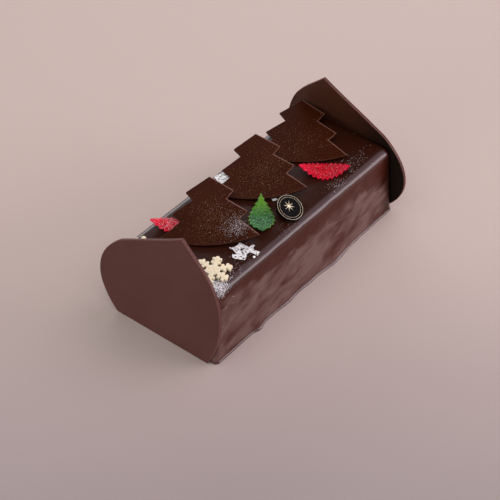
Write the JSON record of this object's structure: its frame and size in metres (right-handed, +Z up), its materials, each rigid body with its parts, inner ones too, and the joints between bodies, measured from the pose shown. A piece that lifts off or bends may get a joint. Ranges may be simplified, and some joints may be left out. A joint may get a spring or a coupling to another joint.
{
  "type": "yule log cake",
  "caption": "Long block-shaped yule log cake in dark glaze between curved chocolate end plates, topped with chocolate trees, sugar leaves, snowflakes, silver scraps and a tilted round disc.",
  "frame": {"origin": "on the floor at the middle of the cake's footprint, halfway between the two end plates", "axes": "+X across the log to the side with the round disc, +Y along the log to the back end plate, +Z up"},
  "size_m": [0.1198, 0.2242, 0.1007],
  "materials": {
    "dark_glaze": "wet-looking dark chocolate glaze",
    "plate_chocolate": "satin tempered dark chocolate",
    "tree_chocolate": "satin dark chocolate with fine gold specks",
    "white_chocolate": "soft cream white chocolate",
    "red_sugar": "frosted red sugar",
    "green_sugar": "frosted green sugar",
    "silver_leaf": "crinkled silver leaf",
    "disc_black": "smooth black chocolate"
  },
  "bodies": {
    "root": {"log": "dark_glaze", "end_plate_front": "plate_chocolate", "end_plate_back": "plate_chocolate", "tree_front": "tree_chocolate", "tree_middle": "tree_chocolate", "tree_back": "tree_chocolate", "leaf_green": "green_sugar", "leaf_red_right": "red_sugar", "leaf_red_left": "red_sugar", "snowflake_large": "white_chocolate", "snowflake_small": "white_chocolate", "silver_flake_front": "silver_leaf", "silver_flake_left": "silver_leaf", "silver_flake_small": "silver_leaf", "disc": "disc_black", "disc_dab": "dark_glaze"}
  },
  "joints": []
}
